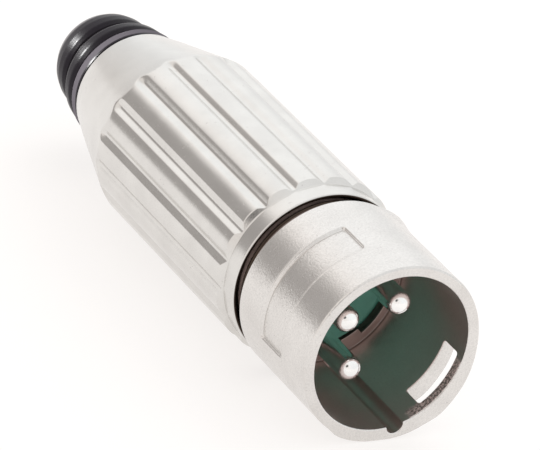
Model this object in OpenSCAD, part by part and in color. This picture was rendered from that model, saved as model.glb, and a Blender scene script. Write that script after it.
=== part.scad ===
// Three-pole cable plug of the circular professional audio pattern, male contacts.
// The plug lies on its side: its axis is +Y, from the open mating end to the cable end,
// and the middle of the mating rim is the origin. +Z is up. Millimetres.

/* [Front shell] */
// outer radius of the shell
shell_r = 9.05; // [8.6:0.05:9.6]
// radius of the thicker half on the window side
swell_r = 9.04; // [8.6:0.05:9.6]
// how far the thicker half is set off towards the window
swell_off = 0.45; // [0:0.05:0.6]
// length of the shell body up to its rear shoulder
shell_len = 13.0; // [12:0.1:15]
// radius of the mating bore
bore_r = 8.0; // [7.9:0.05:8.2]
// depth of the mating bore
bore_depth = 12.75; // [12:0.05:13.5]
// inner radius of the ledge at the bottom of the bore
ledge_r = 7.25; // [7:0.05:7.6]
// thickness of that ledge
ledge_t = 1.05; // [0.8:0.05:1.5]
// radius of the rear bore that takes the insert
rear_bore_r = 7.55; // [7.3:0.05:7.7]
// outer radius of the threaded neck
neck_r = 8.25; // [8:0.05:8.4]
// where the neck ends behind the rim
neck_end = 20.8; // [19:0.1:22]

/* [Latch window and keyway] */
// direction of the latch window, degrees from straight up towards +X
window_dir = 121; // [0:1:359]
// half of the angle that the window spans
window_half = 21.8; // [15:0.1:25]
// front edge of the window behind the rim
window_front = 1.1; // [0.8:0.05:2]
// rear edge of the window behind the rim
window_rear = 3.55; // [3:0.05:5]
// distance of the flat outside the window from the axis
pad_dist = 9.53; // [9.3:0.01:9.8]
// half width of that flat
pad_half = 2.65; // [2:0.05:3.5]
// angle from the window to the keyway
key_angle = 45; // [30:1:60]
// radius of the keyway groove
key_r = 0.86; // [0.6:0.02:1.2]

/* [Name field] */
// half of the angle that the sunk field spans
field_half = 45; // [30:1:60]
// front edge of the field
field_front = 4.6; // [4:0.1:6]
// rear edge of the field
field_rear = 8.65; // [7:0.05:10]
// depth of the field
field_depth = 0.25; // [0.1:0.05:0.4]

/* [Contacts] */
// distance of each contact from the axis
pin_circle = 3.81; // [3.5:0.01:4.2]
// radius of a contact
pin_r = 1.19; // [1.0:0.01:1.3]
// tip of the contacts behind the rim
pin_tip = 2.5; // [1.5:0.1:3.5]
// radius of a contact where the insert holds it
pin_body_r = 1.6; // [1.4:0.05:1.9]
// end of the solder cups
cup_end = 28.6; // [26:0.1:31]

/* [Insert] */
// radius of the raised front of the insert
boss_r = 6.3; // [6:0.05:6.8]
// front face of the insert behind the rim
insert_face = 12.85; // [12.5:0.05:13.5]
// radius of the insert's flange
flange_r = 7.5; // [7.2:0.05:7.6]
// rear face of the insert
insert_rear = 23.6; // [22:0.1:25]

/* [Handle] */
// front face of the handle behind the rim
handle_front = 14.5; // [13.5:0.1:15.5]
// rear end of the handle behind the rim
handle_rear = 53.4; // [50:0.1:56]
// radius of the plain ring at the front
ring_r = 8.9; // [8.6:0.05:9.1]
// radius over the ribs
rib_crest_r = 9.42; // [9.2:0.01:9.8]
// radius at the bottom between two ribs
rib_valley_r = 8.8; // [8.6:0.01:9.2]
// number of ribs
rib_count = 18; // [12:1:24]
// where the ribs begin
rib_front = 16.5; // [16:0.1:18]
// where the ribs end and the cone begins
rib_rear = 42.4; // [40:0.1:44]
// radius of the handle at its rear end
handle_rear_r = 6.35; // [6:0.05:6.8]
// radius of the threaded bore
thread_bore_r = 8.32; // [8.1:0.01:8.5]

/* [Boot] */
// rear end of the boot behind the rim
boot_rear = 62.2; // [60:0.1:66]
// radius of the boot's first ring
boot_ring_r = 5.95; // [5.5:0.05:6.3]
// radius of the boot's second ring
boot_ring2_r = 5.3; // [4.8:0.05:5.6]
// radius of the cable hole
cable_r = 3.3; // [2.5:0.05:4]

/* [Hidden] */
$fn = 96;
e = 0.01;

// the drawing axis is +Z with the rim at 0; this lays it along +Y
module lay() { rotate([-90, 0, 0]) children(); }
// a place at a direction (degrees from straight up towards +X) and a distance
module at(dir, d) { rotate([0, 0, dir - 90]) translate([d, 0, 0]) children(); }
// a ring from radius a to radius b between z0 and z1
module ring(a, b, z0, z1) {
  rotate_extrude() polygon([[a, z0], [b, z0], [b, z1], [a, z1]]);
}
// a part of such a ring around a direction
module sector(dir, half, a, b, z0, z1) {
  rotate([0, 0, dir - 90 - half])
    rotate_extrude(angle = 2 * half) polygon([[a, z0], [b, z0], [b, z1], [a, z1]]);
}

module front_shell() {
  color([0.76, 0.75, 0.73]) lay() difference() {
    union() {
      // body: round, thicker on the window side
      linear_extrude(height = shell_len) union() {
        circle(r = shell_r);
        rotate([0, 0, window_dir - 90]) translate([swell_off, 0]) circle(r = swell_r);
      }
      // flat pad around the latch window
      rotate([0, 0, window_dir - 90]) translate([0, -pad_half, 0.12])
        cube([pad_dist, 2 * pad_half, 5.4]);
      // neck that carries the outside thread
      rotate_extrude() polygon([[7, shell_len - 1], [neck_r - 0.35, shell_len - 1],
        [neck_r - 0.35, shell_len + 0.6], [neck_r, shell_len + 0.95], [neck_r, neck_end - 0.3],
        [neck_r - 0.3, neck_end], [7, neck_end]]);
    }
    // mating bore with a small edge break
    translate([0, 0, -1]) cylinder(r = bore_r, h = bore_depth + 1);
    translate([0, 0, -0.05]) cylinder(r1 = bore_r + 0.2, r2 = bore_r, h = 0.2);
    // opening in the ledge, except at the key
    difference() {
      translate([0, 0, bore_depth - e]) cylinder(r = ledge_r, h = ledge_t + 2 * e);
      sector(window_dir + 25.5, 8.7, 6.55, 8, bore_depth - 2 * e, bore_depth + ledge_t + 1);
    }
    // rear bore
    difference() {
      translate([0, 0, bore_depth + ledge_t]) cylinder(r = rear_bore_r, h = 12);
      sector(window_dir + 25.5, 8.7, 6.55, 8, bore_depth + ledge_t - 1, bore_depth + ledge_t + 2.4);
    }
    // latch window
    sector(window_dir, window_half, 7.3, 11, window_front, window_rear);
    // keyway, ending just short of the ledge
    at(window_dir + key_angle, bore_r) translate([0, 0, -1])
      cylinder(r = key_r, h = bore_depth + 0.8);
    // sunk field opposite the window
    sector(window_dir + 180, field_half, shell_r - field_depth, 11, field_front, field_rear);
  }
}

module contact_insert() {
  color([0.10, 0.24, 0.18]) lay() difference() {
    union() {
      ring(0, boss_r, insert_face, 15);
      ring(0, flange_r, bore_depth + ledge_t + 0.02, 16.6);
      ring(0, 6.9, 16.5, insert_rear);
    }
    // notch over the shell's key
    sector(window_dir + 25.5, 9.3, 6.5, 9, insert_face - 1, bore_depth + ledge_t + 2.5);
    // seats of the three contacts
    for (d = [window_dir - 90, window_dir + 90, window_dir + 180]) at(d, pin_circle) {
      translate([0, 0, insert_face - 1]) cylinder(r = pin_r + 0.2, h = 5);
      translate([0, 0, 15.8]) cylinder(r = pin_body_r + 0.01, h = 12);
    }
    // slot for the ground lug
    sector(window_dir, 12.5, 6.35, 9, 16.55, insert_rear + 1);
  }
}

// one contact: round tip, straight pin, thicker body and a solder cup open to one side
module contact(dir) {
  color([0.84, 0.84, 0.83]) lay() at(dir, pin_circle) difference() {
    union() {
      translate([0, 0, pin_tip + pin_r]) sphere(r = pin_r);
      translate([0, 0, pin_tip + pin_r]) cylinder(r = pin_r, h = insert_face - pin_tip - pin_r);
      translate([0, 0, insert_face]) cylinder(r = pin_r + 0.19, h = 15.8 - insert_face + e);
      translate([0, 0, 15.8]) cylinder(r = pin_body_r, h = cup_end - 15.8);
    }
    translate([0, 0, cup_end - 4.2]) cylinder(r = 1.15, h = 6);
    translate([0.35, -3, cup_end - 3.2]) cube([4, 6, 6]);
  }
}

module pin_1() { contact(window_dir - 90); }
module pin_2() { contact(window_dir + 90); }
module pin_3() { contact(window_dir + 180); }

module ground_lug() {
  color([0.80, 0.78, 0.72]) lay() difference() {
    union() {
      // tongue in the insert's slot, bent out against the shell
      sector(window_dir, 12, 6.4, 6.88, 16.62, 29.5);
      sector(window_dir, 12, 6.4, rear_bore_r - 0.02, 16.62, 17.2);
    }
    // solder hole
    at(window_dir, 5) translate([0, 0, 27.6]) rotate([0, 90, 0]) cylinder(r = 0.75, h = 4);
  }
}

module cable_clamp() {
  color([0.16, 0.16, 0.17]) lay() difference() {
    rotate_extrude() polygon([[6.2, insert_rear + 0.05], [7.4, insert_rear + 0.05], [7.4, 37.6],
      [6.0, 46.6], [3.6, 46.6], [3.6, 39.5], [6.2, 35.5]]);
    // slots between the four jaws
    for (a = [45, 135]) rotate([0, 0, a]) translate([-10, -0.55, 33]) cube([20, 1.1, 20]);
    // room for the ground lug
    sector(window_dir, 16, 5, 6.95, insert_rear - 1, 30.4);
  }
}

module handle() {
  lobe_c = (pow(rib_crest_r, 2) - pow(rib_valley_r, 2))
    / (2 * (rib_crest_r - rib_valley_r * cos(180 / rib_count)));
  slope = (rib_crest_r - handle_rear_r) / (handle_rear - rib_rear);
  color([0.78, 0.77, 0.75]) lay() difference() {
    union() {
      // plain ring, core under the ribs and smooth cone
      rotate_extrude() polygon([[4, handle_front], [ring_r - 0.22, handle_front],
        [ring_r, handle_front + 0.22], [ring_r, rib_front + 1], [rib_valley_r, rib_front + 1],
        [rib_valley_r, rib_rear + (rib_crest_r - rib_valley_r) / slope],
        [handle_rear_r + 0.06, handle_rear - 0.2], [handle_rear_r - 0.1, handle_rear],
        [4, handle_rear]]);
      // ribs, cut to the outer envelope
      intersection() {
        union() for (i = [0 : rib_count - 1]) rotate([0, 0, i * 360 / rib_count])
          translate([lobe_c, 0, rib_front]) cylinder(r = rib_crest_r - lobe_c, h = 30, $fn = 48);
        rotate_extrude() polygon([[5, rib_front], [ring_r, rib_front],
          [rib_crest_r + 0.05, rib_front + 0.05 + rib_crest_r - ring_r],
          [rib_crest_r + 0.05, rib_rear - 0.05 / slope],
          [rib_valley_r - 0.2, rib_rear + (rib_crest_r - rib_valley_r + 0.2) / slope],
          [5, rib_rear + (rib_crest_r - rib_valley_r + 0.2) / slope]]);
      }
    }
    // inside: thread bore, plain bore, clamping cone, boot pocket, rear opening
    rotate_extrude() polygon([[0, handle_front - 1], [thread_bore_r, handle_front - 1],
      [thread_bore_r, neck_end + 0.15], [7.5, neck_end + 0.15], [7.5, 37.65], [6.1, 46.65],
      [5.9, 47.6], [5.9, 50.6], [5.1, 50.6], [5.1, handle_rear + 1], [0, handle_rear + 1]]);
  }
}

module boot() {
  color([0.07, 0.065, 0.075]) lay() rotate_extrude() polygon([
    [cable_r + 0.6, 47.7], [5.8, 47.7], [5.8, 50.45], [5.0, 50.45], [5.0, handle_rear + 0.12],
    [6.05, handle_rear + 0.12], [6.05, handle_rear + 0.7], [5.75, handle_rear + 1.35],
    [5.9, handle_rear + 1.9], [boot_ring_r, handle_rear + 2.6], [5.8, handle_rear + 3.6],
    [5.45, handle_rear + 4.15], [5.05, handle_rear + 4.3],
    [5.2, handle_rear + 4.75], [boot_ring2_r, handle_rear + 5.4],
    [5.2, handle_rear + 6.5], [4.9, handle_rear + 7.5], [4.4, handle_rear + 8.3],
    [3.9, boot_rear], [cable_r, boot_rear], [cable_r, 49.5]]);
}

front_shell();
contact_insert();
pin_1();
pin_2();
pin_3();
ground_lug();
cable_clamp();
handle();
boot();
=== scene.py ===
"""Looks of a three-pole circular cable plug lying on a pale table.

The CAD frame gives every place. Lengths in the mesh code are millimetres: s runs along +Y from
the mating rim, phi is degrees from straight up (+Z) towards +X, r is the distance from the axis.
"""

import math

import bpy
import numpy as np
from mathutils import Matrix


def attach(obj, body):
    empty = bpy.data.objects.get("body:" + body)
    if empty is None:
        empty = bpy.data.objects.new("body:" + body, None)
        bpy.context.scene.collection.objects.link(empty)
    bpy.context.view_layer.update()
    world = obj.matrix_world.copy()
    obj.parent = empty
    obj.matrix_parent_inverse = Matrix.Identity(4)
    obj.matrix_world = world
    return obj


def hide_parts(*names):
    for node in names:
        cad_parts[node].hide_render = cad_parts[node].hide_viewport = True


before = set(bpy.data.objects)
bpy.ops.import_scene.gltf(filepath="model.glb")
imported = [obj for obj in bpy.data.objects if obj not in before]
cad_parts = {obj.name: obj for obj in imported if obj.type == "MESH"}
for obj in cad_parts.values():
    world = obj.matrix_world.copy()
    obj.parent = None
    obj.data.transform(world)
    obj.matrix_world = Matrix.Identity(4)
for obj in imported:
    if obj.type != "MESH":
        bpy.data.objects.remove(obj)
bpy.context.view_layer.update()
MM = 0.001

# ---------------------------------------------------------------- numbers of the plug
WINDOW = 121.0  # direction of the latch window
W_HALF, W_FRONT, W_REAR = 21.8, 1.1, 3.55
KEYWAY = WINDOW + 45.0
LEDGE_KEY, LEDGE_KEY_HALF = WINDOW + 25.5, 8.7
FIELD, FIELD_HALF, F_FRONT, F_REAR, F_DEEP = WINDOW + 180.0, 45.0, 4.6, 8.65, 0.24
SHELL_LEN, BORE_R, BORE_S, LEDGE_R = 13.0, 8.0, 12.75, 7.25
NECK_R, NECK_END, REAR_BORE = 8.25, 20.8, 7.55
PIN_CIRCLE, PIN_R, PIN_TIP = 3.81, 1.19, 2.6
RIBS, CREST, RING = 18, 9.42, 8.9
H_FRONT, RIB_FRONT, RIB_REAR, H_REAR, H_REAR_R = 14.5, 16.5, 42.4, 53.4, 6.35
PITCH = 1.0


def point(phi, r, s):
    """Places in metres from direction, radius and length in millimetres."""
    a = np.radians(phi)
    r, s = np.asarray(r, float), np.asarray(s, float)
    a, r, s = np.broadcast_arrays(a, r, s)
    return np.stack([r * np.sin(a), s, r * np.cos(a)], -1) * MM


def turned(phi, centre):
    """phi - centre in -180..180."""
    return (np.asarray(phi) - centre + 180.0) % 360.0 - 180.0


def soft_step(x, a, b):
    t = np.clip((x - a) / (b - a), 0, 1)
    return t * t * (3 - 2 * t)


def spread(groups, low, high, widest):
    """Sorted samples from low to high with the given ones kept, and no gap over widest."""
    have = sorted({round(float(x), 5) for x in groups if low <= x <= high} | {low, high})
    out = [have[0]]
    for a, b in zip(have, have[1:]):
        if b - a < 1e-4:
            continue
        n = max(1, int(math.ceil((b - a) / widest)))
        out += [a + (b - a) * k / n for k in range(1, n + 1)]
    return np.array(out)


def mesh_object(name, verts, faces, material):
    me = bpy.data.meshes.new(name)
    me.from_pydata(verts.tolist(), [], faces)
    me.validate(verbose=False)
    import bmesh

    bm = bmesh.new()
    bm.from_mesh(me)
    bmesh.ops.remove_doubles(bm, verts=bm.verts, dist=1e-8)
    bmesh.ops.recalc_face_normals(bm, faces=bm.faces)
    if bm.calc_volume(signed=True) < 0:
        bmesh.ops.reverse_faces(bm, faces=bm.faces)
    for f in bm.faces:
        f.smooth = True
    bm.to_mesh(me)
    bm.free()
    o = bpy.data.objects.new(name, me)
    bpy.context.scene.collection.objects.link(o)
    me.materials.append(material)
    return o


def weighted(o):
    """Normals that follow the large faces, so that narrow edge rounds stay crisp."""
    m = o.modifiers.new("crisp", "WEIGHTED_NORMAL")
    m.weight = 60
    m.keep_sharp = True
    return o


def grid_faces(rows, cols, close_rows, skip=()):
    """Quads of a grid that closes in its columns, and in its rows if asked."""
    faces = []
    for k in range(rows if close_rows else rows - 1):
        k2 = (k + 1) % rows
        for i in range(cols):
            if (k, i) in skip:
                continue
            i2 = (i + 1) % cols
            faces.append((k * cols + i, k * cols + i2, k2 * cols + i2, k2 * cols + i))
    return faces


def rounded(corners, n=4, hold=0.35):
    """A profile of (r, s) from corners of (r, s, rounding), with a line kept beside each round."""
    out = []
    pts = [np.array(c[:2], float) for c in corners]
    for k, c in enumerate(corners):
        if k in (0, len(corners) - 1) or len(c) < 3 or c[2] <= 0:
            out.append(tuple(pts[k]))
            continue
        a, b, d = pts[k - 1], pts[k], pts[k + 1]
        u, v = a - b, d - b
        lu, lv = np.linalg.norm(u), np.linalg.norm(v)
        u, v = u / lu, v / lv
        half = math.acos(np.clip(u @ v, -1, 1)) / 2
        cut = min(c[2] / math.tan(half), 0.48 * lu, 0.48 * lv)
        rad = cut * math.tan(half)
        centre = b + (u + v) / np.linalg.norm(u + v) * (rad / math.sin(half))
        p, q = b + u * cut, b + v * cut
        a0 = math.atan2(*(p - centre)[::-1])
        a1 = math.atan2(*(q - centre)[::-1])
        turn = (a1 - a0 + math.pi) % (2 * math.pi) - math.pi
        if hold and lu > 3 * cut:
            out.append(tuple(b + u * cut * (1 + hold)))
        for j in range(n + 1):
            t = a0 + turn * j / n
            out.append((centre[0] + rad * math.cos(t), centre[1] + rad * math.sin(t)))
        if hold and lv > 3 * cut:
            out.append(tuple(b + v * cut * (1 + hold)))
    return out


def revolve(name, profile, material, segments=128, centre=(0.0, 0.0), closed=False):
    """Turns a profile of (r, s). An open one starts and ends on the axis."""
    prof = np.array(profile, float)
    cols = np.arange(segments) * 360.0 / segments
    shift = np.array([centre[0], 0, centre[1]]) * MM
    if closed:
        verts = np.concatenate([point(cols, r, s) for r, s in prof]) + shift
        return mesh_object(name, verts, grid_faces(len(prof), segments, True), material)
    inner = prof[1:-1]
    verts = np.concatenate([point(cols, r, s) for r, s in inner])
    n = len(verts)
    verts = np.vstack([verts, point(0, 0, prof[0, 1])[None], point(0, 0, prof[-1, 1])[None]]) + shift
    faces = grid_faces(len(inner), segments, False)
    last = (len(inner) - 1) * segments
    for i in range(segments):
        j = (i + 1) % segments
        faces.append((n, j, i))
        faces.append((n + 1, last + i, last + j))
    return mesh_object(name, verts, faces, material)


# ---------------------------------------------------------------- materials
def material(name):
    m = bpy.data.materials.new(name)
    m.use_nodes = True
    nt = m.node_tree
    bsdf = nt.nodes["Principled BSDF"]
    co = nt.nodes.new("ShaderNodeTexCoord")
    scale = nt.nodes.new("ShaderNodeMapping")
    scale.inputs["Scale"].default_value = (1000, 1000, 1000)  # the textures read millimetres
    nt.links.new(co.outputs["Object"], scale.inputs["Vector"])
    return m, nt, bsdf, scale.outputs["Vector"]


def noise(nt, vector, scale, detail=2.0, rough=0.5, stretch=None, seed=0.0):
    if stretch or seed:
        mp = nt.nodes.new("ShaderNodeMapping")
        mp.inputs["Scale"].default_value = stretch or (1, 1, 1)
        mp.inputs["Location"].default_value = (seed, seed * 0.7, -seed)
        nt.links.new(vector, mp.inputs["Vector"])
        vector = mp.outputs["Vector"]
    n = nt.nodes.new("ShaderNodeTexNoise")
    n.inputs["Scale"].default_value = scale
    n.inputs["Detail"].default_value = detail
    n.inputs["Roughness"].default_value = rough
    nt.links.new(vector, n.inputs["Vector"])
    return n.outputs["Fac"]


def ramp(nt, value, stops):
    r = nt.nodes.new("ShaderNodeValToRGB")
    e = r.color_ramp.elements
    while len(e) < len(stops):
        e.new(0.5)
    for k, (p, c) in enumerate(stops):
        e[k].position = p
        e[k].color = (*c, 1) if len(c) == 3 else c
    nt.links.new(value, r.inputs["Fac"])
    return r.outputs["Color"]


def span(nt, value, a, b, c, d, smooth=False):
    m = nt.nodes.new("ShaderNodeMapRange")
    if smooth:
        m.interpolation_type = "SMOOTHSTEP"
    for k, x in zip(("From Min", "From Max", "To Min", "To Max"), (a, b, c, d)):
        m.inputs[k].default_value = x
    nt.links.new(value, m.inputs["Value"])
    return m.outputs["Result"]


def maths(nt, op, a, b=None, clamp=False):
    m = nt.nodes.new("ShaderNodeMath")
    m.operation = op
    m.use_clamp = clamp
    for k, x in enumerate((a, b)):
        if x is None:
            continue
        if isinstance(x, (int, float)):
            m.inputs[k].default_value = x
        else:
            nt.links.new(x, m.inputs[k])
    return m.outputs[0]


def mixed(nt, fac, a, b):
    m = nt.nodes.new("ShaderNodeMix")
    m.data_type = "RGBA"
    for k, x in (("Factor", fac), ("A", a), ("B", b)):
        sockets = [s for s in m.inputs if s.name == k and s.enabled]
        s = sockets[0]
        if isinstance(x, tuple):
            s.default_value = (*x, 1)
        elif isinstance(x, (int, float)):
            s.default_value = x
        else:
            nt.links.new(x, s)
    return [s for s in m.outputs if s.enabled][0]


def bump(nt, bsdf, parts):
    """One bump from heights added up: (height, its size in mm)."""
    total = None
    for height, size in parts:
        h = maths(nt, "MULTIPLY", height, size)
        total = h if total is None else maths(nt, "ADD", total, h)
    b = nt.nodes.new("ShaderNodeBump")
    b.inputs["Strength"].default_value = 1.0
    b.inputs["Distance"].default_value = MM
    nt.links.new(total, b.inputs["Height"])
    nt.links.new(b.outputs["Normal"], bsdf.inputs["Normal"])


def nickel(name, light=(0.765, 0.745, 0.722), dark=(0.712, 0.690, 0.667), rough=(0.20, 0.27), grain=0.014,
           speckle=0.12, shell=False, thread=None):
    """Satin nickel: a fine blasted grain, a soft unevenness, and small pits."""
    m, nt, bsdf, mm = material(name)
    bsdf.inputs["Metallic"].default_value = 1.0
    fine = noise(nt, mm, 5.0, 3.0, 0.62)
    cloudy = noise(nt, mm, 0.35, 2.0, 0.5, seed=3.1)
    pits = noise(nt, mm, 3.4, 1.0, 0.4, seed=7.7)
    pitted = span(nt, pits, 0.71, 0.79, 0, 1, True)
    tone = mixed(nt, span(nt, cloudy, 0.3, 0.7, 0, 1), light, dark)
    tone = mixed(nt, span(nt, fine, 0.40, 0.68, 0, speckle), tone, tuple(0.72 * c for c in dark))
    tone = mixed(nt, maths(nt, "MULTIPLY", pitted, 0.30), tone, (0.42, 0.40, 0.38))
    ro = maths(nt, "ADD", span(nt, fine, 0.3, 0.7, rough[0], rough[1]), maths(nt, "MULTIPLY", pitted, 0.1))
    heights = [(cloudy, 0.020), (fine, grain), (pitted, -0.004)]
    if shell or thread:
        sep = nt.nodes.new("ShaderNodeSeparateXYZ")
        nt.links.new(mm, sep.inputs[0])
        x, y, z = sep.outputs
        r = maths(nt, "SQRT", maths(nt, "ADD", maths(nt, "MULTIPLY", x, x), maths(nt, "MULTIPLY", z, z)))
    if thread:
        # painted shade: the inside thread, seen in the gap between shell and handle, is darkened in colour to stand in
        # for the shade in that gap
        deep = maths(nt, "MULTIPLY", span(nt, r, thread[0], thread[0] - 0.05, 0, 1, True), span(nt, y, thread[1], thread[1] + 0.3, 1, 0, True))
        tone = mixed(nt, deep, tone, (0.060, 0.044, 0.034))
        ro = maths(nt, "ADD", ro, maths(nt, "MULTIPLY", deep, 0.15))
    if shell:
        # painted shade: the neck's thread, in the gap under the handle, is darkened in colour to stand in for the
        # shade in that gap
        neck = maths(nt, "MULTIPLY", span(nt, r, 8.95, 8.75, 0, 1, True), span(nt, y, 12.9, 13.1, 0, 1, True))
        tone = mixed(nt, neck, tone, (0.060, 0.044, 0.034))
        ro = maths(nt, "ADD", ro, maths(nt, "MULTIPLY", neck, 0.12))
        # the bore is set apart from the blasted outside: its colour is darker and pinker, painted shade for the shaded
        # cavity that also tones down the green it reflects, and its roughness is raised
        inside = maths(nt, "MULTIPLY", span(nt, r, 8.12, 8.02, 0, 1, True), span(nt, y, 0.1, 0.2, 0, 1, True))
        key = math.radians(KEYWAY)
        into = maths(nt, "ADD", maths(nt, "MULTIPLY", x, math.sin(key)), maths(nt, "MULTIPLY", z, math.cos(key)))
        aside = maths(nt, "SUBTRACT", maths(nt, "MULTIPLY", x, math.cos(key)), maths(nt, "MULTIPLY", z, math.sin(key)))
        aside = maths(nt, "ABSOLUTE", aside)
        groove = maths(nt, "MULTIPLY", span(nt, into, 7.7, 7.9, 0, 1, True), span(nt, aside, 0.98, 0.92, 0, 1, True))
        groove = maths(nt, "MULTIPLY", groove, span(nt, r, 8.95, 8.91, 0, 1, True))
        groove = maths(nt, "MULTIPLY", groove, maths(nt, "MULTIPLY", span(nt, y, 0.1, 0.2, 0, 1, True), span(nt, y, 12.7, 12.8, 1, 0, True)))
        inside = maths(nt, "MAXIMUM", inside, groove)
        # painted shade: the keyway groove's colour is darkened to stand in for the shade in the groove
        tone = mixed(nt, maths(nt, "MULTIPLY", groove, 0.45), tone, (0.30, 0.24, 0.22))
        tone = mixed(nt, maths(nt, "MULTIPLY", inside, 0.50), tone, (0.76, 0.575, 0.545))
        ro = maths(nt, "ADD", ro, maths(nt, "MULTIPLY", inside, 0.16))
        # painted shade: the ledge at the end of the bore is darker and browner in colour, standing in for the shade
        # deep in the bore
        last = maths(nt, "MULTIPLY", span(nt, r, 8.12, 8.02, 0, 1, True), span(nt, y, 12.35, 12.6, 0, 1, True))
        tone = mixed(nt, maths(nt, "MULTIPLY", last, 0.75), tone, (0.20, 0.150, 0.130))
        # the first millimetre of the bore by the window is raw and rough
        toward = math.radians(WINDOW + 7)
        facing = maths(nt, "ADD", maths(nt, "MULTIPLY", x, math.sin(toward)), maths(nt, "MULTIPLY", z, math.cos(toward)))
        facing = span(nt, facing, 7.05, 7.45, 0, 1, True)
        edge = maths(nt, "MULTIPLY", span(nt, y, 0.95, 1.55, 1, 0, True), span(nt, r, 8.20, 8.06, 0, 1, True))
        edge = maths(nt, "MULTIPLY", maths(nt, "MULTIPLY", edge, span(nt, y, 0.10, 0.22, 0, 1, True)), facing)
        cast = noise(nt, mm, 4.6, 3.0, 0.7, seed=11.0)
        spots = maths(nt, "MULTIPLY", edge, span(nt, cast, 0.42, 0.56, 0, 1, True))
        tone = mixed(nt, maths(nt, "MULTIPLY", spots, 0.75), tone, (0.12, 0.11, 0.095))
        ro = maths(nt, "ADD", ro, maths(nt, "MULTIPLY", edge, 0.42))
        heights.append((maths(nt, "MULTIPLY", cast, edge), 0.16))
        # the floor of the sunk field is left as cast
        side = math.radians(FIELD)
        out = maths(nt, "ADD", maths(nt, "MULTIPLY", x, math.sin(side)), maths(nt, "MULTIPLY", z, math.cos(side)))
        field = maths(nt, "MULTIPLY", span(nt, y, F_FRONT, F_FRONT + 0.25, 0, 1, True), span(nt, y, F_REAR - 0.25, F_REAR, 1, 0, True))
        field = maths(nt, "MULTIPLY", field, maths(nt, "MULTIPLY", span(nt, out, 6.25, 6.45, 0, 1, True), span(nt, r, 8.93, 8.86, 0, 1, True)))
        rippled = noise(nt, mm, 1.7, 2.0, 0.55, seed=4.4)
        heights.append((maths(nt, "MULTIPLY", rippled, field), 0.018))
        heights.append((maths(nt, "MULTIPLY", fine, field), 0.006))
    nt.links.new(tone, bsdf.inputs["Base Color"])
    nt.links.new(ro, bsdf.inputs["Roughness"])
    bump(nt, bsdf, heights)
    return m


def silver():
    """Bright silver-plated contacts with hairline marks round them."""
    m, nt, bsdf, mm = material("contact_silver")
    bsdf.inputs["Metallic"].default_value = 1.0
    marks = noise(nt, mm, 1.6, 3.0, 0.6, stretch=(0.4, 9.0, 0.4))
    cloudy = noise(nt, mm, 0.9, 2.0, 0.5, seed=5)
    tone = mixed(nt, span(nt, cloudy, 0.3, 0.7, 0, 1), (0.95, 0.945, 0.93), (0.87, 0.865, 0.85))
    nt.links.new(tone, bsdf.inputs["Base Color"])
    nt.links.new(span(nt, marks, 0.3, 0.7, 0.10, 0.18), bsdf.inputs["Roughness"])
    bump(nt, bsdf, [(marks, 0.0012), (cloudy, 0.003)])
    return m


def plastic(name, a, b, rough=(0.32, 0.45), speck=None, gloss=0.5, collar=None, end=None, ior=1.5):
    """Moulded plastic with a faint flow pattern and a fine skin."""
    m, nt, bsdf, mm = material(name)
    flow = noise(nt, mm, 0.45, 3.0, 0.55, stretch=(1.0, 0.45, 1.0))
    skin = noise(nt, mm, 7.0, 2.0, 0.6, seed=2.3)
    tone = mixed(nt, span(nt, flow, 0.3, 0.7, 0, 1), a, b)
    ro = span(nt, skin, 0.3, 0.7, *rough)
    if speck:
        dust = span(nt, noise(nt, mm, 5.0, 2.0, 0.5, seed=9.4), 0.70, 0.78, 0, 1, True)
        tone = mixed(nt, maths(nt, "MULTIPLY", dust, 0.5), tone, speck)
    if collar:
        # the collar by the handle is greyer in colour and rougher than the rest of the boot
        s0, s1, grey = collar
        sep = nt.nodes.new("ShaderNodeSeparateXYZ")
        nt.links.new(mm, sep.inputs[0])
        on = maths(nt, "MULTIPLY", span(nt, sep.outputs[1], s0 - 0.1, s0, 0, 1, True), span(nt, sep.outputs[1], s1, s1 + 0.1, 1, 0, True))
        tone = mixed(nt, on, tone, grey)
        ro = maths(nt, "ADD", ro, maths(nt, "MULTIPLY", on, 0.45))
        # painted highlight: the rounded end is a little greyer, standing in for the grazing light along its rim
        tone = mixed(nt, span(nt, sep.outputs[1], end[0], end[1], 0, 1, True), tone, end[2])
    nt.links.new(tone, bsdf.inputs["Base Color"])
    nt.links.new(ro, bsdf.inputs["Roughness"])
    bsdf.inputs["Specular IOR Level"].default_value = gloss
    bsdf.inputs["IOR"].default_value = ior
    bump(nt, bsdf, [(flow, 0.010), (skin, 0.003)])
    return m


# shell=True adds painted shade to the neck thread, the bore, the keyway groove and the ledge, besides the raw edge and
# the field
SHELL = nickel("satin_nickel_shell", speckle=0.30, grain=0.019, shell=True)
# thread= sets where the handle's inside thread gets its painted shade
HANDLE = nickel("satin_nickel_handle", light=(0.725, 0.712, 0.688), dark=(0.675, 0.660, 0.638), rough=(0.18, 0.24),
                grain=0.0035, speckle=0.05, thread=(8.84, 21.5))
SILVER = silver()
# painted light: the insert's green is lighter than the plastic's own colour, making up for the shade deep in the bore
GREEN = plastic("green_plastic", (0.115, 0.350, 0.275), (0.095, 0.290, 0.225), speck=(0.20, 0.42, 0.35), gloss=0.4)
CLAMP = plastic("clamp_plastic", (0.030, 0.030, 0.033), (0.020, 0.020, 0.023), rough=(0.45, 0.6))
# the boot's grey end is a painted highlight; its collar is greyer and rougher
RUBBER = plastic("boot_rubber", (0.0040, 0.0025, 0.0048), (0.0065, 0.0045, 0.0078), rough=(0.26, 0.34),
                 speck=(0.035, 0.030, 0.040), gloss=0.30, ior=1.28, collar=(54.0, 54.98, (0.100, 0.090, 0.104)), end=(60.3, 61.8, (0.095, 0.090, 0.094)))
TINNED = nickel("tinned_brass", light=(0.72, 0.68, 0.60), dark=(0.60, 0.56, 0.47), rough=(0.30, 0.45))


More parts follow.
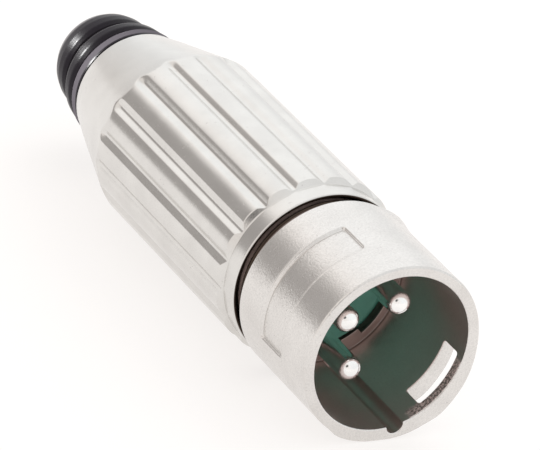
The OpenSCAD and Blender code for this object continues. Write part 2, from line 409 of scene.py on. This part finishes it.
# ---------------------------------------------------------------- front shell
OUTLINE = np.array([  # beta from the window, radius
    (-180, 9.05), (-120, 9.05), (-100, 9.05), (-90, 9.06), (-78, 9.10), (-66, 9.13), (-54, 9.16),
    (-46, 9.18), (-38, 9.21), (-30, 9.27), (-22, 9.38), (-14, 9.52), (-6, 9.64), (0, 9.69), (6, 9.76),
    (14, 9.85), (18, 9.84), (22, 9.73), (28, 9.62), (34, 9.60), (42, 9.52), (50, 9.42), (58, 9.34), (66, 9.33),
    (78, 9.34), (84, 9.32), (87, 9.28), (91, 9.12), (94, 9.06), (110, 9.05), (180, 9.05)])
FINE_B = np.arange(-180, 180.01, 0.25)
_w = np.exp(-(np.arange(-16, 17) * 0.25 / 1.3) ** 2 / 2)
FINE_R = np.convolve(np.pad(np.interp(FINE_B, OUTLINE[:, 0], OUTLINE[:, 1]), 16, mode="wrap"), _w / _w.sum(), "valid")


def shell_outer(phi, s):
    """Outer radius of the shell body: the swell, the pad by the window, the sunk field and the rear flare."""
    phi = np.asarray(phi, float)
    beta = turned(phi, WINDOW)
    front = np.interp(beta, FINE_B, FINE_R)
    # behind the pad the swell is lower and plain
    plain = 9.05 + 0.40 * soft_step(-np.abs(turned(beta, 22)), -74, -20)
    on = 1 - soft_step(s, 5.36, 5.60)
    r = np.where(np.abs(beta) < 26, np.minimum(front, plain) + np.maximum(front - plain, 0) * on, front)
    # sunk field for a name, bare
    ru = 9.05 * math.pi / 180
    u = np.abs(turned(phi, FIELD)) * ru
    v = np.abs(s - (F_FRONT + F_REAR) / 2)
    hu, hv, rad = FIELD_HALF * ru, (F_REAR - F_FRONT) / 2, 0.32
    qu, qv = u - hu + rad, v - hv + rad
    sd = np.hypot(np.maximum(qu, 0), np.maximum(qv, 0)) + np.minimum(np.maximum(qu, qv), 0) - rad
    r = r - F_DEEP * (1 - soft_step(sd, -0.09, 0.05))
    # low bead round the field's edge
    r = r + 0.035 * np.exp(-((sd - 0.15) / 0.075) ** 2)
    # flare at the rear, on the right, behind a slanting crease
    crease = 13.0 - 2.3 * np.clip((phi - 24.0) / 20.0, 0, 1) + 2.3 * np.clip((phi - 62.0) / 22.0, 0, 1)
    rise = s - crease
    rise = (rise + np.sqrt(rise**2 + 0.004)) / 2
    r = r + np.where((phi > 5) & (phi < 95), 0.145 * rise, 0)
    # the side that the plug lies on stays clear of the table
    c = np.abs(np.cos(np.radians(phi)))
    return np.where(np.cos(np.radians(phi)) < -0.5, np.minimum(r, 9.296 / np.maximum(c, 0.5)), r)


def bore_radius(phi):
    """Radius of the mating bore with the keyway groove in it."""
    d = np.radians(turned(phi, KEYWAY))
    c, k = BORE_R, 0.86
    under = k * k - (c * np.sin(d)) ** 2
    groove = np.where((under > 0) & (np.abs(d) < 0.3), c * np.cos(d) + np.sqrt(np.maximum(under, 0)), 0)
    return np.maximum(BORE_R, groove)


def ledge_radius(phi):
    """Inner radius of the ledge, smaller at the key."""
    side = np.abs(turned(phi, LEDGE_KEY))
    return LEDGE_R - 0.70 * (1 - soft_step(side, LEDGE_KEY_HALF - 0.25, LEDGE_KEY_HALF + 0.25))


def build_shell():
    b = 0.07  # edge break of the window
    ru = 9.4 * math.pi / 180
    wu = W_HALF + b / ru
    marks = []
    for c, ds in (
        (WINDOW - wu, (-2.2, -1.3, -0.7, 0, 0.5, 1.0, 1.6, 2.2)), (WINDOW + wu, (2.2, 1.3, 0.7, 0, -0.5, -1.0, -1.6, -2.2)),
        (WINDOW - 15.6, (-0.8, -0.3, 0, 0.3, 0.8)), (WINDOW + 15.6, (-0.8, -0.3, 0, 0.3, 0.8)),
        (KEYWAY - 6.15, (-0.8, -0.25, 0, 0.25, 0.9, 2, 3.4)), (KEYWAY + 6.15, (0.8, 0.25, 0, -0.25, -0.9, -2, -3.4)),
        (LEDGE_KEY - LEDGE_KEY_HALF, (-0.5, -0.25, -0.08, 0.08, 0.25, 0.5)),
        (LEDGE_KEY + LEDGE_KEY_HALF, (-0.5, -0.25, -0.08, 0.08, 0.25, 0.5)),
        (FIELD - FIELD_HALF, (-2.2, -1.6, -1.2, -0.9, -0.65, -0.4, -0.1, 0.2, 0.5, 0.8, 1.1, 1.5, 2.0)),
        (FIELD + FIELD_HALF, (2.2, 1.6, 1.2, 0.9, 0.65, 0.4, 0.1, -0.2, -0.5, -0.8, -1.1, -1.5, -2.0)),
        (WINDOW + 84, (0,)), (WINDOW + 87, (0, 1, 2, 3)), (WINDOW + 91, (0, 1, 2)),
    ):
        marks += [(c + d) % 360 for d in ds]
    cols = spread(marks, 0.0, 360.0, 1.9)[:-1]
    n = len(cols)
    c0 = int(np.argmin(np.abs(cols - (WINDOW - wu))))
    c1 = int(np.argmin(np.abs(cols - (WINDOW + wu))))

    sf, sr = W_FRONT - b, W_REAR + b
    win_s = [sf + d for d in (-0.62, -0.4, -0.22, -0.1, 0, 0.08, 0.18, 0.3, 0.45)] + [
        sr - d for d in (-0.62, -0.4, -0.22, -0.1, 0, 0.08, 0.18, 0.3, 0.45)]
    win_s += [sf + 0.45 + (sr - sf - 0.9) * k / 4 for k in (1, 2, 3)]
    edge = 0.24
    outer_s = spread(
        [edge + 0.05, edge + 0.15, *win_s, 5.2, 5.36, 5.42, 5.48, 5.54, 5.6, 5.7]
        + [F_FRONT + d for d in (-0.32, -0.24, -0.17, -0.11, -0.06, -0.01, 0.04, 0.09, 0.15, 0.22, 0.32)]
        + [F_REAR + d for d in (0.32, 0.24, 0.17, 0.11, 0.06, 0.01, -0.04, -0.09, -0.15, -0.22, -0.32)]
        + [12.4, 12.7, 12.8], edge, 12.86, 0.55)
    rows = []  # (radius array, s array, tag)
    rout = lambda s: shell_outer(cols, np.full(n, s))
    # rim: inner edge round, flat face, outer edge round
    rin = bore_radius(cols)
    for a in (0, 30, 60, 90):
        t = math.radians(a)
        rows.append((rin + 0.13 - 0.13 * math.cos(t), 0.13 - 0.13 * math.sin(t), "rim"))
    rows.append((rin + 0.17, 0.0, "rim"))
    r0 = rout(edge)
    rows.append((np.maximum(r0 - edge - 0.05, rin + 0.2), 0.0, "rim"))
    for a in (0, 18, 36, 54, 72, 90):
        t = math.radians(a)
        rows.append((np.maximum(r0 - edge + edge * math.sin(t), rin + 0.22), edge - edge * math.cos(t), "rim"))
    first_outer = len(rows) - 1
    rows[-1] = (r0, edge, "outer")
    for s in outer_s[1:]:
        rows.append((rout(s), s, "outer"))
    last_outer = len(rows) - 1
    re = rout(12.86)
    for a in (22, 45, 68, 90):
        t = math.radians(a)
        rows.append((re - 0.14 + 0.14 * math.cos(t), 12.86 + 0.14 * math.sin(t), "rear"))
    rows.append((re - 0.2, 13.0, "rear"))
    rows.append((np.full(n, 8.35), 13.0, "rear"))
    root = NECK_R - 0.42
    rows.append((np.full(n, root + 0.06), 13.0, "rear"))
    rows.append((np.full(n, root), 13.06, "rear"))
    # outside thread of the neck
    for s in np.arange(13.14, NECK_END - 0.28, 1 / 13):
        phase = (s / PITCH - cols / 360.0) % 1.0
        tooth = np.clip(1.18 - 2.6 * np.abs(phase - 0.5), 0, 1)
        tooth = tooth * soft_step(s, 13.25, 13.9)
        rows.append((root + (NECK_R - root) * tooth, s, "thread"))
    rows.append((np.full(n, NECK_R - 0.4), NECK_END - 0.2, "end"))
    rows.append((np.full(n, NECK_R - 0.5), NECK_END, "end"))
    rows.append((np.full(n, REAR_BORE + 0.06), NECK_END, "end"))
    rows.append((np.full(n, REAR_BORE), NECK_END - 0.06, "end"))
    rows.append((np.full(n, REAR_BORE), 17.5, "back"))
    rows.append((np.full(n, REAR_BORE), 14.0, "back"))
    rows.append((np.full(n, REAR_BORE), 13.82, "back"))
    led = ledge_radius(cols)
    rows.append((np.full(n, REAR_BORE - 0.02), 13.8, "back"))
    rows.append((led + 0.06, 13.8, "ledge"))
    rows.append((led, 13.74, "ledge"))
    rows.append((led, 13.4, "ledge"))
    rows.append((led, 12.9, "ledge"))
    for a in (0, 30, 60, 90):
        t = math.radians(a)
        rows.append((led + 0.08 - 0.08 * math.cos(t), 12.83 - 0.08 * math.sin(t), "ledge"))
    rows.append((led + 0.14, 12.75, "ledge"))
    rows.append((np.maximum(led + 0.2, 7.6), 12.75, "ledge"))
    rows.append((rin * 0 + BORE_R - 0.1, 12.75, "ledge"))
    for a in (30, 60, 90):
        t = math.radians(a)
        rows.append((BORE_R - 0.08 + 0.08 * math.sin(t) + 0 * rin, 12.67 + 0.08 * math.cos(t), "bore"))
    deep = np.maximum(rin - BORE_R, 0)
    rows.append((BORE_R + deep * 0.0, 12.62, "bore"))
    rows.append((BORE_R + deep * 0.92, 12.56, "bore"))
    rows.append((rin, 12.48, "bore"))
    inner_s = spread([*win_s, 0.18, 0.26, 10.0, 12.3, 12.45], 0.18, 12.45, 0.9)[::-1]
    first_inner = len(rows)
    for s in inner_s:
        rows.append((rin.copy(), s, "inner"))
    R = np.array([np.broadcast_to(r, (n,)) for r, _, _ in rows], float)
    S = np.array([np.full(n, s) for _, s, _ in rows], float)
    PH = np.tile(cols, (len(rows), 1))
    tags = [t for _, _, t in rows]

    def row_at(s, kind):
        return min((abs(rows[k][1] - s), k) for k in range(len(rows)) if tags[k] == kind)[1]

    oa, ob = row_at(sf, "outer"), row_at(sr, "outer")
    ia, ib = row_at(sf, "inner"), row_at(sr, "inner")  # ia > ib in index, because the inner rows run back
    mid_s = (W_FRONT + W_REAR) / 2
    hu, hv = W_HALF * ru, (W_REAR - W_FRONT) / 2
    rad = 0.30

    def corner(u, v, eu, ev, ra):
        """Moves points of a rectangle's border onto its rounded corner."""
        su, sv = np.sign(u), np.sign(v)
        cu, cv = eu - ra, ev - ra
        du, dv = np.abs(u) - cu, np.abs(v) - cv
        inside = (du > 0) & (dv > 0)
        d = np.hypot(du, dv)
        k = np.where(inside & (d > 1e-9), ra / np.maximum(d, 1e-9), 1.0)
        return np.where(inside, su * (cu + du * k), u), np.where(inside, sv * (cv + dv * k), v)

    def warp(U, V, eu, ev, ra, reach=0.55):
        """Rounds the block's corners and eases the grid around them."""
        pu, pv = np.clip(U, -eu, eu), np.clip(V, -ev, ev)
        # nearest border point, also for points inside
        inside = (np.abs(U) < eu - 1e-9) & (np.abs(V) < ev - 1e-9)
        qu, qv = corner(pu, pv, eu, ev, ra)
        on = ~inside
        fall = np.exp(-(np.hypot(U - pu, V - pv) / reach) ** 2)
        return np.where(on, U + (qu - pu) * fall, U), np.where(on, V + (qv - pv) * fall, V)

    for k in range(len(rows)):
        if tags[k] in ("outer", "inner") and sf - 1.6 < rows[k][1] < sr + 1.6 and k != first_outer:
            U, V = turned(cols, WINDOW) * ru, S[k] - mid_s
            near = np.abs(U) < hu + 3
            U2, V2 = warp(U, V, hu + b, hv + b, rad + b)
            PH[k] = np.where(near, WINDOW + U2 / ru, PH[k])
            S[k] = np.where(near, mid_s + V2, S[k])
            if tags[k] == "outer":
                R[k] = shell_outer(PH[k], S[k])
            else:
                R[k] = bore_radius(PH[k])
    skip = {(k, i) for k in range(oa, ob) for i in range(c0, c1)}
    skip |= {(k, i) for k in range(ib, ia) for i in range(c0, c1)}
    verts = point(PH, R, S).reshape(-1, 3)
    faces = grid_faces(len(rows), n, True, skip)

    # the window's own walls: loops from the outer border through the wall to the inner border
    def border(ra_, rb_, step):
        ks = list(range(ra_, rb_ + step, step))
        loop = [(ks[0], i) for i in range(c0, c1)] + [(k, c1) for k in ks[:-1]]
        loop += [(ks[-1], i) for i in range(c1, c0, -1)] + [(k, c0) for k in ks[:0:-1]]
        return loop

    outer_loop = border(oa, ob, 1)
    inner_loop = border(ia, ib, -1)
    assert len(outer_loop) == len(inner_loop), (len(outer_loop), len(inner_loop))
    base_u = np.array([turned(cols[i], WINDOW) * ru for _, i in outer_loop])
    base_v = np.array([rows[k][1] - mid_s for k, _ in outer_loop])

    def ring_at(out, fr, depth_from_outer, depth_from_inner):
        """A loop on the window's contour moved out by out, at a depth from one of the faces."""
        eu, ev = hu + out, hv + out
        u, v = base_u * eu / (hu + b), base_v * ev / (hv + b)
        u, v = corner(u, v, eu, ev, rad + out)
        ph, s = WINDOW + u / ru, mid_s + v
        ro, ri = shell_outer(ph, s), bore_radius(ph)
        if depth_from_outer is not None:
            r = ro - depth_from_outer
        elif depth_from_inner is not None:
            r = ri + depth_from_inner
        else:
            r = ro * (1 - fr) + ri * fr
        return point(ph, r, s)

    loops = [
        ring_at(0.29 * b, 0, 0.29 * b, None), ring_at(0, 0, b, None), ring_at(0, 0, b + 0.05, None),
        ring_at(0, 0.5, None, None),
        ring_at(0, 0, None, b + 0.05), ring_at(0, 0, None, b), ring_at(0.29 * b, 0, None, 0.29 * b)]
    ids = [[k * n + i for k, i in outer_loop]]
    for lp in loops:
        start = len(verts)
        verts = np.vstack([verts, lp])
        ids.append(list(range(start, start + len(lp))))
    ids.append([k * n + i for k, i in inner_loop])
    m = len(outer_loop)
    for p, q in zip(ids, ids[1:]):
        for j in range(m):
            j2 = (j + 1) % m
            faces.append((p[j], p[j2], q[j2], q[j]))
    return weighted(mesh_object("shell_body", verts, faces, SHELL))


# ---------------------------------------------------------------- handle
def rib_depth():
    """How far the surface lies under the crest, over the angle from the middle of a rib.

    A gently rounded top, a tight shoulder, a straight flank and a round bottom between two ribs.
    """
    d = np.linspace(0, 10, 401)
    tilt = np.interp(d, [0, 4.6, 5.2, 6.0, 6.6, 8.1, 8.6, 9.2, 10], [0, 7.0, 10.5, 26.0, 30.5, 31.5, 29.0, 17.0, 0])
    step = np.tan(np.radians(tilt)) * 9.2 * np.radians(d[1] - d[0])
    return d, np.concatenate([[0], np.cumsum((step[1:] + step[:-1]) / 2)])


RIB_D, RIB_DEPTH = rib_depth()


def lobe_radius(phi):
    """Radius over the ribs."""
    step = 360.0 / RIBS
    d = (np.asarray(phi) % step + step) % step  # valleys at 0, crests at half a step
    return CREST - np.interp(np.abs(d - step / 2), RIB_D, RIB_DEPTH)


def cone_radius(s):
    """Radius of the slightly crowned cone behind the ribs."""
    return np.interp(s, [30.0, 42.4, 44.0, 46.0, 48.0, 50.0, 52.0, 53.4, 56.0],
                     [12.66, 9.42, 8.96, 8.41, 7.87, 7.33, 6.74, 6.33, 5.55])


def build_handle():
    step = 360.0 / RIBS
    half = np.array([0, 0.4, 0.8, 1.2, 1.6, 2.0, 2.6, 3.2, 3.6, 4.0, 4.4, 4.8, 5.2, 6.2, 7.4, 8.7])
    one = np.concatenate([half, [10.0], (20.0 - half[1:])[::-1]])
    cols = np.concatenate([one + step * k for k in range(RIBS)])
    n = len(cols)
    L = lobe_radius(cols)
    rows = []
    full = lambda r: np.full(n, float(r))
    # front face and its edges
    rows.append((full(8.62), full(H_FRONT)))
    rows.append((full(RING - 0.27), full(H_FRONT)))
    for a in (0, 25, 45, 65, 90):
        t = math.radians(a)
        rows.append((full(RING - 0.2 + 0.2 * math.sin(t)), full(H_FRONT + 0.2 - 0.2 * math.cos(t))))
    for s in (14.78, 15.0, 15.6, 16.2, 16.38, 16.43):
        rows.append((full(RING), full(s)))
    # rear edge of the plain ring, then the chamfered rib fronts
    gap = np.abs(L - RING)
    s_int = RIB_FRONT + gap + 0.02
    rows.append((full(RING - 0.006), full(16.475)))
    rows.append((RING + (L - RING) * 0.04, RIB_FRONT + 0.01 + 0.04 * gap))
    for f in (0.2, 0.45, 0.7, 0.86, 0.95):
        rows.append((RING + (L - RING) * f, RIB_FRONT + 0.012 + f * gap))
    for d, k in ((0.0, 0.012), (0.03, 0.004), (0.07, 0.0), (0.14, 0.0), (0.26, 0.0)):
        rows.append((L - k * (L > RING), s_int + d))
    for f in (0.35, 0.7, 1.0):
        rows.append((L, s_int + 0.26 + (18.2 - s_int - 0.26) * f))
    for s in (20, 23, 26.5, 30, 33, 36, 38.5, 40.3):
        rows.append((L, full(s)))
    # soft run-out of the ribs into the cone: the valleys rise just before the crests end
    for s in [*np.arange(41.2, 44.3, 0.1), 44.6, 45.2, 46.2]:
        low = CREST - (CREST - L) * (1 - soft_step(s, 41.9, 43.7))
        c, h = cone_radius(s), 0.05
        rows.append(((low + c) / 2 - np.sqrt(((low - c) / 2) ** 2 + (h / 2) ** 2), full(s)))
    cone = lambda s: float(cone_radius(s))
    for s in (47.2, 48.2, 49.4, 50.6, 51.8, 52.6, 53.05):
        rows.append((full(cone(s)), full(s)))
    e = 0.18
    re = cone(H_REAR - e)
    for a in (0, 22, 45, 68, 90):
        t = math.radians(a)
        rows.append((full(re - e + e * math.cos(t)), full(H_REAR - e + e * math.sin(t))))
    rows.append((full(re - e - 0.08), full(H_REAR)))
    rows.append((full(5.2), full(H_REAR)))
    rows.append((full(5.1), full(H_REAR - 0.1)))
    rows.append((full(5.1), full(51.5)))
    rows.append((full(5.1), full(50.62)))
    rows.append((full(5.14), full(50.6)))
    rows.append((full(5.86), full(50.6)))
    rows.append((full(5.9), full(50.56)))
    rows.append((full(5.9), full(47.6)))
    rows.append((full(6.1), full(46.65)))
    rows.append((full(6.8), full(42.15)))
    rows.append((full(7.48), full(37.8)))
    rows.append((full(7.5), full(37.5)))
    for s in (34, 30, 26, 23, 21.2):
        rows.append((full(7.5), full(s)))
    rows.append((full(7.52), full(20.97)))
    rows.append((full(8.28), full(20.95)))
    rows.append((full(8.34), full(20.88)))
    # inside thread
    for s in np.arange(20.8, H_FRONT + 0.42, -1 / 11):
        phase = (s / PITCH - cols / 360.0 + 0.5) % 1.0
        tooth = np.clip(1.18 - 2.6 * np.abs(phase - 0.5), 0, 1)
        fade = soft_step(s, H_FRONT + 0.3, H_FRONT + 1.0)
        rows.append((8.60 - 0.26 * tooth * fade, full(s)))
    rows.append((full(8.50), full(H_FRONT + 0.22)))
    rows.append((full(8.57), full(H_FRONT + 0.04)))
    R, S = np.array([r for r, _ in rows]), np.array([s for _, s in rows])
    verts = point(np.tile(cols, (len(rows), 1)), R, S).reshape(-1, 3)
    return weighted(mesh_object("handle_sleeve", verts, grid_faces(len(rows), n, True), HANDLE))


# ---------------------------------------------------------------- boot, insert, contacts
def build_boot():
    z = H_REAR
    prof = rounded([
        (3.9, 47.7), (5.8, 47.7, 0.15), (5.8, 50.45, 0.15), (5.0, 50.45, 0.1), (5.0, z + 0.20, 0.05),
        (6.20, z + 0.20, 0.08), (6.20, z + 1.36, 0.14), (5.76, z + 1.60, 0.12),
        (5.88, z + 1.95, 0.4), (5.99, z + 2.55, 1.2), (5.86, z + 3.5, 0.9), (5.50, z + 4.10, 0.3),
        (5.02, z + 4.22, 0.14), (5.02, z + 4.44, 0.14),
        (5.24, z + 4.66, 0.3), (5.36, z + 5.3, 1.0), (5.28, z + 6.3, 1.5), (5.00, z + 7.3, 1.5),
        (4.50, z + 8.2, 0.9), (3.95, boot_end(), 0.35), (3.45, boot_end(), 0.15),
        (3.3, boot_end() - 0.15, 0.1), (3.3, 49.5, 0.2)], n=5, hold=0.2)
    return weighted(revolve("cable_boot", prof, RUBBER, segments=144, closed=True))


def boot_end():
    return 62.2


def build_insert():
    prof = rounded([
        (0, 12.85), (0.4, 12.85), (6.3, 12.85, 0.16), (6.3, 13.84, 0.05), (7.5, 13.84, 0.05),
        (7.5, 16.6, 0.1), (6.9, 16.6, 0.05), (6.9, 23.6, 0.2), (0.4, 23.6), (0, 23.6)], n=4)
    return weighted(revolve("insert_green", prof, GREEN, segments=128))


def build_contact(name, direction):
    a = math.radians(direction)
    centre = (PIN_CIRCLE * math.sin(a), PIN_CIRCLE * math.cos(a))
    prof = [(0, PIN_TIP)]
    dome = 0.96
    for k in range(1, 19):
        t = math.pi / 2 * k / 18
        prof.append((PIN_R * math.sin(t), PIN_TIP + dome - dome * math.cos(t)))
    prof += [(PIN_R, 4.0), (PIN_R, 6.5), (PIN_R, 9.5), (PIN_R, 12.4), (PIN_R, 15.7)]
    prof += rounded([(PIN_R, 15.8), (1.6, 15.8, 0.1), (1.6, 28.6, 0.08), (1.15, 28.6, 0.05), (1.15, 24.4, 0.1), (0.3, 24.4)], n=3)
    prof += [(0, 24.4)]
    return weighted(revolve(name, prof, SILVER, segments=72, centre=centre))


shell = build_shell()
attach(shell, "shell")
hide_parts("front_shell")

handle = build_handle()
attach(handle, "handle_body")
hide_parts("handle")

boot = build_boot()
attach(boot, "boot_body")
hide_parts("boot")

insert = build_insert()
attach(insert, "shell")
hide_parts("contact_insert")

for k, d in ((1, WINDOW - 90), (2, WINDOW + 90), (3, WINDOW + 180)):
    pin = build_contact(f"contact_{k}", d)
    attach(pin, "shell")
    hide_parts(f"pin_{k}")

for node, mat in (("ground_lug", TINNED), ("cable_clamp", CLAMP)):
    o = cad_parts[node]
    o.data.materials.clear()
    o.data.materials.append(mat)

# ---------------------------------------------------------------- camera
# The photograph's view in camera axes (x right, y down, z forward): the plug's axis and its rim.
AXIS = np.array([-0.46117, -0.46846, 0.75357])
AXIS /= np.linalg.norm(AXIS)
RIM = np.array([11.1594, 11.7832, 482.5145])
up = np.array([0, -1.0, 0]) - AXIS * (-AXIS[1])
up /= np.linalg.norm(up)
right = np.cross(AXIS, up)
t = math.radians(-4.85)
Zw = math.cos(t) * up + math.sin(t) * right
Yw = AXIS
Xw = np.cross(Yw, Zw)
place = np.array([-RIM @ Xw, -RIM @ Yw, -RIM @ Zw]) * MM
turn = np.array([[Xw[0], -Xw[1], -Xw[2]], [Yw[0], -Yw[1], -Yw[2]], [Zw[0], -Zw[1], -Zw[2]]])
cam_data = bpy.data.cameras.new("camera")
cam_data.sensor_width = 36.0
cam_data.lens = 5280.27 / 540 * 36.0
cam_data.clip_start, cam_data.clip_end = 0.05, 20
cam = bpy.data.objects.new("camera", cam_data)
bpy.context.scene.collection.objects.link(cam)
cam.matrix_world = Matrix([[*turn[0], place[0]], [*turn[1], place[1]], [*turn[2], place[2]], [0, 0, 0, 1]])
bpy.context.scene.camera = cam

# ---------------------------------------------------------------- table and light
floor_z = -9.336 * MM
import bmesh

bm = bmesh.new()
size = 3.0
grid = bmesh.ops.create_grid(bm, x_segments=24, y_segments=24, size=size)
for v in bm.verts:
    v.co.z = floor_z
fm = bpy.data.meshes.new("table")
bm.to_mesh(fm)
bm.free()
floor = bpy.data.objects.new("table", fm)
bpy.context.scene.collection.objects.link(floor)
fmat = bpy.data.materials.new("table_white")
fmat.use_nodes = True
fb = fmat.node_tree.nodes["Principled BSDF"]
fb.inputs["Base Color"].default_value = (0.26, 0.26, 0.26, 1)
fb.inputs["Emission Color"].default_value = (1, 0.97, 0.95, 1)
fb.inputs["Emission Strength"].default_value = 0.76  # a lit white table
fb.inputs["Roughness"].default_value = 0.9
fb.inputs["Specular IOR Level"].default_value = 0.1
fm.materials.append(fmat)

world = bpy.data.worlds.new("studio")
bpy.context.scene.world = world
world.use_nodes = True
wn = world.node_tree
bg = wn.nodes["Background"]
tc = wn.nodes.new("ShaderNodeTexCoord")


def lobe_light(direction, inner, outer, dim):
    """1 everywhere, and dim within inner degrees of a direction, easing out to outer degrees."""
    d = np.array(direction, float)
    d /= np.linalg.norm(d)
    dot = wn.nodes.new("ShaderNodeVectorMath")
    dot.operation = "DOT_PRODUCT"
    dot.inputs[1].default_value = tuple(d)
    wn.links.new(tc.outputs["Generated"], dot.inputs[0])
    return span(wn, dot.outputs["Value"], math.cos(math.radians(outer)), math.cos(math.radians(inner)), 1.0, dim, True)


to_cam = place / np.linalg.norm(place)
level = lobe_light((-0.617, 0.7536, 0.225), 14, 27, 0.47)  # a dark flag on the left
level = maths(wn, "MULTIPLY", level, lobe_light((0.05, 0.99, 0.06), 8, 22, 0.80))  # the far side
level = maths(wn, "MULTIPLY", level, lobe_light(to_cam, 8, 14, 0.06))  # the camera
level = maths(wn, "MULTIPLY", level, lobe_light((0.18, 0.75, 0.63), 14, 46, 1.24))  # the top light
side = wn.nodes.new("ShaderNodeVectorMath")
side.operation = "DOT_PRODUCT"
side.inputs[1].default_value = (0.92, 0.0, 0.39)
wn.links.new(tc.outputs["Generated"], side.inputs[0])
tint = mixed(wn, span(wn, side.outputs["Value"], -0.35, 0.45, 0, 1, True), (1.0, 0.955, 0.925), (0.985, 0.995, 1.0))
wn.links.new(tint, bg.inputs["Color"])
wn.links.new(level, bg.inputs["Strength"])


def softbox(name, position, target, width, height, power, colour=(1, 1, 1)):
    data = bpy.data.lights.new(name, "AREA")
    data.shape = "RECTANGLE"
    data.size, data.size_y = width, height
    data.energy = power
    data.color = colour
    o = bpy.data.objects.new(name, data)
    bpy.context.scene.collection.objects.link(o)
    p, q = np.array(position, float), np.array(target, float)
    z = (p - q) / np.linalg.norm(p - q)
    x = np.cross([0, 0, 1.0], z)
    x /= np.linalg.norm(x)
    y = np.cross(z, x)
    o.matrix_world = Matrix([[x[0], y[0], z[0], p[0]], [x[1], y[1], z[1], p[1]], [x[2], y[2], z[2], p[2]], [0, 0, 0, 1]])
    return o


key_light = softbox("key", (0.55, 0.25, 0.65), (0, 0.02, 0), 0.7, 0.7, 1.85)
key_light.visible_glossy = False
# a small lamp behind on the left, which gives the rubber its highlight
small = softbox("rim_lamp", (-0.0698, 0.148, 0.0367), (0, 0.0575, 0), 0.022, 0.022, 0.24)
small.visible_camera = False
rubber_only = bpy.data.collections.new("rubber_only")
rubber_only.objects.link(boot)
small.light_linking.receiver_collection = rubber_only

scene = bpy.context.scene
scene.view_settings.view_transform = "Standard"
